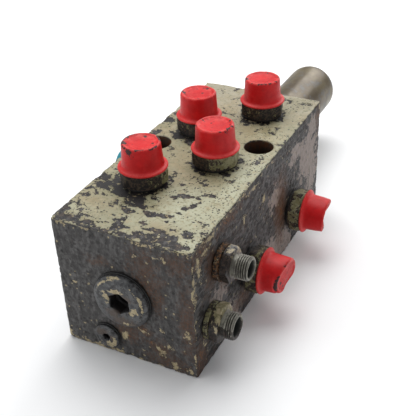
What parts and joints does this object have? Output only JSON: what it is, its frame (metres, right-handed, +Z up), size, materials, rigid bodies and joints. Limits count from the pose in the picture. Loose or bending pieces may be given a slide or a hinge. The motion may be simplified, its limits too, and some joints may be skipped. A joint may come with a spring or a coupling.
{
  "type": "hydraulic multi-port spool valve",
  "caption": "Steel block hydraulic spool valve: screwed port adapters under push-on dust caps, open pilot adapters, spring housing tube and through bolt holes.",
  "frame": {"origin": "centre of the block's flat bottom face", "axes": "+Z up, out of the face with the work ports; +Y from the end plug towards the spring housing; +X towards the face with the pressure ports"},
  "size_m": [0.1682, 0.3613, 0.1282],
  "materials": {
    "body_paint": "worn pale sage paint chipped to dark grimy steel",
    "fitting_paint": "worn sage overspray on steel hexagons",
    "fitting_steel": "bare thread, stained steel",
    "bare_steel": "dull steel",
    "ground_steel": "ground and hardened",
    "dark_steel": "oiled black oxide",
    "spring_steel": "oiled spring wire",
    "plug_steel": "grimy dark steel with paint remains",
    "rusty_steel": "rusted ring",
    "housing_bronze_paint": "smooth brown-grey film on drawn steel",
    "rubber": "black nitrile",
    "brass": "turned",
    "cap_red": "soft red polyethylene, scuffed",
    "cap_teal": "soft teal polyethylene, scuffed"
  },
  "bodies": {
    "housing": {"channel_plug": "plug_steel", "channel_plug_seal": "rubber", "channel_sealing_plugs": "bare_steel", "check_seat": "dark_steel", "front_end_plug": "plug_steel", "front_plug_seal": "rubber", "housing_o_ring": "rubber", "housing_spring_seat": "dark_steel", "pilot_orifice": "brass", "pilot_port_x_adapter": "fitting_steel", "pilot_port_x_seal": "rubber", "pilot_port_y_adapter": "fitting_steel", "pilot_port_y_seal": "rusty_steel", "pressure_port_p1_adapter": "fitting_paint", "pressure_port_p1_seal": "rubber", "pressure_port_p2_adapter": "fitting_paint", "pressure_port_p2_seal": "rubber", "spring_housing": "housing_bronze_paint", "tank_port_adapter": "fitting_paint", "tank_port_seal": "rubber", "valve_body": "body_paint", "work_port_a1_adapter": "fitting_paint", "work_port_a1_seal": "rubber", "work_port_a2_adapter": "fitting_paint", "work_port_a2_seal": "rubber", "work_port_b1_adapter": "fitting_paint", "work_port_b1_seal": "rubber", "work_port_b2_adapter": "fitting_paint", "work_port_b2_seal": "rubber"},
    "spool": {"main_spool": "ground_steel", "spool_spring_seat": "dark_steel", "spring_seat_screw": "dark_steel", "return_spring": "spring_steel"},
    "check_valve": {"check_ball": "ground_steel", "check_spring": "spring_steel"},
    "tank_port_cap": {"tank_port_cap": "cap_teal"},
    "work_port_a1_cap": {"work_port_a1_cap": "cap_red"},
    "work_port_b1_cap": {"work_port_b1_cap": "cap_red"},
    "work_port_a2_cap": {"work_port_a2_cap": "cap_red"},
    "work_port_b2_cap": {"work_port_b2_cap": "cap_red"},
    "pressure_port_p1_cap": {"pressure_port_p1_cap": "cap_red"},
    "pressure_port_p2_cap": {"pressure_port_p2_cap": "cap_red"}
  },
  "joints": [
    {"name": "spool_travel", "type": "slide", "parent": "housing", "child": "spool", "axis": [0, 1, 0], "range_m": [0, 0.008], "stiffness_N_per_m": 9000, "springref_m": -0.012, "deforming": ["return_spring"]},
    {"name": "check_ball_lift", "type": "slide", "parent": "housing", "child": "check_valve", "axis": [0, 1, 0], "range_m": [0, 0.0015], "stiffness_N_per_m": 200, "springref_m": -0.002, "deforming": ["check_spring"]},
    {"name": "tank_port_cap_pull", "type": "slide", "parent": "housing", "child": "tank_port_cap", "axis": [-1, 0, 0], "range_m": [0, 0.03]},
    {"name": "work_port_a1_cap_pull", "type": "slide", "parent": "housing", "child": "work_port_a1_cap", "axis": [0, 0, 1], "range_m": [0, 0.03]},
    {"name": "work_port_b1_cap_pull", "type": "slide", "parent": "housing", "child": "work_port_b1_cap", "axis": [0, 0, 1], "range_m": [0, 0.03]},
    {"name": "work_port_a2_cap_pull", "type": "slide", "parent": "housing", "child": "work_port_a2_cap", "axis": [0, 0, 1], "range_m": [0, 0.03]},
    {"name": "work_port_b2_cap_pull", "type": "slide", "parent": "housing", "child": "work_port_b2_cap", "axis": [0, 0, 1], "range_m": [0, 0.03]},
    {"name": "pressure_port_p1_cap_pull", "type": "slide", "parent": "housing", "child": "pressure_port_p1_cap", "axis": [1, 0, 0], "range_m": [0, 0.03]},
    {"name": "pressure_port_p2_cap_pull", "type": "slide", "parent": "housing", "child": "pressure_port_p2_cap", "axis": [1, 0, 0], "range_m": [0, 0.03]}
  ]
}
